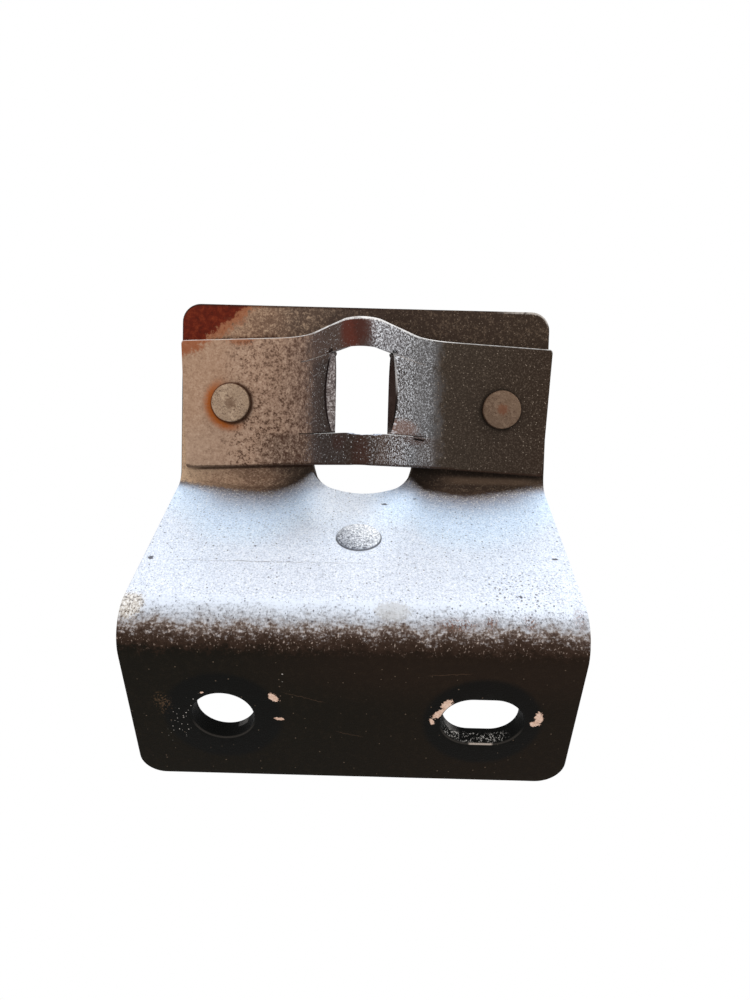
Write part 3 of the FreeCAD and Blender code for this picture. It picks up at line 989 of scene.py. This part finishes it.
def strap_grain(paint, coat, place, low, flank):
    """Mottled brown on the beige, bright and dark grains on the bulge, and fine specks."""
    s, v, _ = paint.places
    _, blotch, edge, grain = paint.noises
    mottled = place.between(-30.0, -15.5, 5.0)
    mottles = edge * 0.7 + blotch * 0.75 + grain * 0.2
    coat.lay(mottles.above(0.45, 0.7) * (mottled * (v.below(13.0, 8.0) * 0.3 + 0.6)), 70, 48, 38)
    coat.grain(mottles * -0.45 * place.below(-15.5, 5.0) * (mottled * 0.4 + 0.6),
               (84, 60, 48), (200, 172, 150))
    coarse = s.below(15.5, 4.0) * 0.6 + 0.4
    sparkle = (edge * 0.65 + grain * 0.7) * flank * coarse * (1.0 - low * s.below(6.0, 6.0) * 0.75)
    coat.grain(sparkle, (40, 34, 32), (232, 234, 238))
    shade = s.between(-17.0, 1.5, 2.0)
    coat.grain(grain * 0.1 * shade, (30, 24, 22), (170, 166, 164))
    coat.lay(paint.specks(2.2, 0.055, 0.4) * (shade * 0.6 + flank * 0.5), 216, 216, 218)
    plain = s.above(20.0, 3.0)
    coat.grain((grain * 0.08 + edge * 0.05) * plain, (32, 25, 20), (170, 150, 132))
    coat.lay(paint.specks(1.5, 0.05, 0.6) * plain * 0.7, 160, 144, 128)


def strap_stains(paint, coat):
    """Rust over the crest, and bare brown and a torn scar along the lower slit."""
    s, v, _ = paint.places
    coat.lay(paint.spot(-1.5, 22.4, 2.6, 2.8, 0.2, 1.0) * 0.85, 88, 42, 32)
    coat.lay(paint.spot(0.4, 21.4, 1.3, 3.4, 0.3, 0.7, 0.35) * v.above(13.0, 1.0) * 0.5, 50, 38, 34)
    stains = any_of([paint.spot(0.2, 4.8, 1.3, 2.8, 0.35, 0.6), paint.spot(-4.5, 6.6, 2.0, 1.2, 0.35, 0.7)])
    coat.lay(stains * 0.5, 58, 34, 27)
    coat.lay(paint.spot(11.8, 9.0, 4.6, 1.3, 0.3, 0.7) * v.above(window_low, 0.2) * 0.6, 136, 106, 94)
    coat.lay(paint.spot(15.5, 7.5, 3.4, 0.9, 0.35, 0.8) * 0.55, 80, 54, 43)
    scar = (v - window_low + 0.35 + (s - 15.5) * 0.05 + paint.edge * 0.06).size().below(0.16, 0.14)
    scar = scar * s.between(15.2, 18.6, 1.4)
    coat.lay(scar.or_(paint.spot(8.2, 8.4, 0.3, 0.3, 0.3, 0.3)), 22, 15, 13)


def end_rust(paint, coat):
    """Rust and shadow round the rivets, and rust at the top left corner."""
    s, v, _ = paint.places
    cloud, blotch, edge, _ = paint.noises
    left, right = [strap_length(x) for x in rivet_places]
    across, up = s - left, v - rivet_line
    reach = distance(across, up)
    near_left = (across * -0.75 - up * 0.35 - blotch * 0.3).above(0.6, 3.6)
    coat.lay((reach + edge * 0.2).below(4.3, 1.4) * near_left, 156, 84, 36)
    ring = (reach + edge * 0.06 - head_radius - 0.1).size().below(0.2, 0.3)
    coat.lay(ring * 0.85, 70, 36, 20)
    shadow = (reach - head_radius - 0.1).below(0.4, 0.5) * (across - up * 0.3).above(0.5, 2.5)
    coat.lay(shadow * 0.6, 52, 38, 28)
    coat.lay(distance(s - right, up).below(3.4, 0.5) * 0.75, 32, 25, 20)
    corner = (left - s) * 0.6 + (v - 21.6) * 0.9 + blotch * 0.6 + cloud * 0.6 + edge * 0.2
    coat.lay(corner.above(3.4, 1.6) * 0.75, 138, 70, 34)
    coat.lay(paint.spot(-29.0, 23.0, 2.0, 0.9, 0.5, 0.8) * 0.6, 138, 78, 44)


def window_faces(paint, coat):
    """The window's side faces: the left one grainy grey, pale in painted light, the right one smooth and
    dark in painted shade, with a painted highlight along its upper rolled edge.
    """
    s, v, h = paint.places
    _, blotch, edge, grain = paint.noises
    cut = paint.rim * v.between(window_low + 0.35, window_high - 0.2, 0.2) * s.size().below(10.2, 0.1)
    rolled = h.above(-0.3, 0.15)
    # The left face pale grey in painted light.
    face = Coat(paint, paint.grainy((122, 111, 108), grain * 0.5 + edge * 0.4,
                                    (40, 32, 30), (210, 204, 202)))
    face.lay(rolled * v.below(19.0, 1.0), 30, 22, 20)
    face.lay(h.below(-1.35, 0.1) * v.above(14.0, 2.0) * 0.8, 40, 32, 30)
    # The right face dark in painted shade, with a painted highlight along its upper rolled edge.
    smooth = Coat(paint, paint.grainy((54, 41, 37), blotch * 0.15, (32, 23, 21), (96, 80, 74)))
    smooth.lay(rolled * v.above(15.0, 3.0), 190, 186, 184)
    smooth.lay(rolled * v.below(13.5, 2.0), 30, 24, 22)
    face.lay(s.above(0.0, 0.1), smooth.colour)
    coat.lay(cut, face.colour)
    notch = (s.size() - 7.4).size().below(0.35, 0.3) * (v - window_high + 0.1).size().below(0.35, 0.2)
    coat.lay(notch, 20, 16, 15)
    return cut


def bright_lines(paint, coat, cut):
    """Painted highlights along the upper edges and the slits, a torn patch on the lower rail, and painted
    shadow on the lower edge.
    """
    s, v, h = paint.places
    _, blotch, edge, _ = paint.noises
    front = (h + edge * 0.05).above(-0.38, 0.3) * (1.0 - cut)
    level = v + (s.size() - 8.8).positive() * math.tan(strap_tilt)
    upper = level.above(23.6, 0.1) * paint.rim.or_(paint.worn_edge * s.between(-15.0, 17.0, 6.0))
    upper = upper * (0.5 + s.between(-18.0, 24.0, 8.0) * 0.5)
    # Painted highlight along the upper edge.
    coat.lay(front * upper * (0.85 + blotch * 0.3 + edge * 0.15), 238, 236, 234)
    rail = v.between(window_low - 1.2, window_low + 0.12, 0.1)
    rail = rail * (s.size().below(11.0, 1.5) * 0.65 + 0.2)
    lip = v.between(window_high - 1.7, window_high + 0.1, 0.1) * s.size().above(6.6, 0.6)
    lip = lip * (0.75 + s.above(0.0, 1.0) * 0.25)
    slits = (rail + lip) * (0.8 + blotch * 0.3) * s.size().below(slit_end - 0.4, 0.4)
    # Painted highlights along the slits' lips.
    coat.lay(front * paint.rim * slits, 212, 206, 202)
    torn = rail * (s + blotch * 0.8).between(-2.0, 4.6, 0.8) * paint.rim
    coat.lay(torn, paint.grainy((170, 184, 208), edge * 0.6, (60, 58, 66), (255, 255, 255)))
    # Painted shadow along the lower edge.
    foot = paint.worn_edge * level.below(4.05, 0.3) * h.above(-0.6, 0.2)
    coat.lay(foot * 0.7, 48, 32, 24)


def strap_finish():
    """Lengths along the strap count from its crest, heights from the back flange's corner line."""
    paint = Finish("strap_paint")
    s, v, h = paint.places
    cloud, blotch, edge, grain = paint.noises
    place = s + cloud * 0.7 + blotch * 0.5 + edge * 0.3
    bulge = s.between(1.2, 20.6, 1.6)
    flank = s.between(1.4, 20.0, 2.0)
    low = v.below(window_low, 0.6)
    coat = strap_tones(paint, place, low, bulge)
    strap_grain(paint, coat, place, low, flank)
    strap_stains(paint, coat)
    end_rust(paint, coat)
    cut = window_faces(paint, coat)
    bright_lines(paint, coat, cut)
    coat.lay(h.below(-1.2, 0.2) * (1.0 - cut), plain_brown(paint))
    bumps = grain * 0.006 + blotch * 0.006 + flank * grain * 0.01
    return paint.finish(coat.colour, 0.6 - bulge * 0.12 + blotch * 0.04, flank * 0.2, bumps)


def rivet_finish(name, plain, dull, pale, centre):
    """Painted metal, a little cracked, with a stain in its centre and its side darkened as painted shade.
    """
    paint = Finish(name)
    x, y, h = paint.places
    cloud, blotch, edge, grain = paint.noises
    coat = Coat(paint, paint.grainy(plain, blotch * 0.35 + edge * 0.25 + grain * 0.15, dull, pale))
    cracks = (blotch - 0.1).size().below(0.12, 0.16) * cloud.above(-0.2, 0.8)
    coat.lay(cracks.or_(paint.specks(1.7, 0.1, 0.3)) * 0.65, 74, 54, 44)
    coat.lay((distance(x, y) + edge * 0.25).below(0.85, 0.7) * 0.6, *centre)
    # Painted shade on the head's side.
    coat.lay(h.below(strap_sheet + head_height - 0.15, 0.15) * 0.8, 70, 48, 34)
    coat.lay(h.below(0.0, 0.1), plain_brown(paint))
    return paint.finish(coat.colour, 0.6 + blotch * 0.04, 0.0, grain * 0.006 + blotch * 0.01)


def dress(made, node, finish):
    made.data.materials.append(finish)
    frame["nodes"][node].data.materials.clear()
    frame["nodes"][node].data.materials.append(finish)
    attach(made, "root")
    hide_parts(node)


# Studio

def make_world(level):
    world = bpy.data.worlds.new("studio")
    bpy.context.scene.world = world
    tree = Nodes(world)
    lit, seen = [tree.node("Background", {}, [(1.0, 1.0, 1.0, 1.0), strength])
                 for strength in (level, 1.0)]
    tree.node("OutputWorld", {}, [tree.white_for_eye(lit, seen)])


def make_floor(height):
    """A pale floor well below the bracket, which is held by its front flange."""
    half = 3.0
    mesh = bpy.data.meshes.new("floor")
    corners = box_corners((-half, half), (-half, half))
    mesh.from_pydata([(x, y, height) for x, y in corners], [], [(0, 1, 2, 3)])
    material = bpy.data.materials.new("floor")
    tree = Nodes(material)
    pale = tree.node("BsdfDiffuse", {}, [(0.9, 0.9, 0.9, 1.0)])
    glow = tree.node("Emission", {}, [(1.0, 1.0, 1.0, 1.0)])
    tree.node("OutputMaterial", {}, [tree.white_for_eye(pale, glow)])
    mesh.materials.append(material)
    linked("floor", mesh)


def make_lamp(name, place, aim, size, power):
    data = bpy.data.lights.new(name, "AREA")
    data.shape = "DISK"
    data.size = size
    data.energy = power
    lamp = linked(name, data)
    lamp.location = place
    lamp.rotation_euler = (Vector(aim) - Vector(place)).to_track_quat("-Z", "Y").to_euler()


def make_camera():
    """Where the picture was taken from, looking down at the bracket from the front."""
    eye = Vector((2.48, -69.05, 75.61)) * MM
    down, turn, roll = math.radians(31.49), math.radians(0.15), math.radians(1.42)
    focal_pixels, long_side = 713.0, 1000.0
    data = bpy.data.cameras.new("camera")
    data.sensor_width = 36.0
    data.lens = focal_pixels / long_side * data.sensor_width
    data.clip_start = 0.002
    data.clip_end = 20.0
    camera = linked("camera", data)
    camera.matrix_world = (
        Matrix.Translation(eye) @ Matrix.Rotation(turn, 4, "Z")
        @ Matrix.Rotation(math.pi / 2 - down, 4, "X") @ Matrix.Rotation(roll, 4, "Z"))
    bpy.context.scene.camera = camera


make_camera()
make_world(1.0)
make_floor(-0.2)
make_lamp("key", (0.35, 0.15, 0.55), (0, 0.02, 0.015), 0.35, 1.6)
make_lamp("back", (0.0, 0.42, 0.22), (0, 0.03, 0.016), 0.3, 0.5)

dress(make_bracket(), "bracket", bracket_finish())
dress(make_strap(), "strap", strap_finish())
# The left head paler and the right one darker: painted reflection, as on the strap behind them.
dress(make_rivet("left_rivet_head", -1, 0.05), "left_rivet",
      rivet_finish("left_rivet_paint", (160, 136, 114), (110, 88, 70), (192, 168, 144), (92, 66, 50)))
dress(make_rivet("right_rivet_head", 1, 0.35), "right_rivet",
      rivet_finish("right_rivet_paint", (110, 90, 74), (84, 64, 50), (132, 110, 92), (106, 62, 42)))

bpy.context.scene.view_settings.view_transform = "Standard"
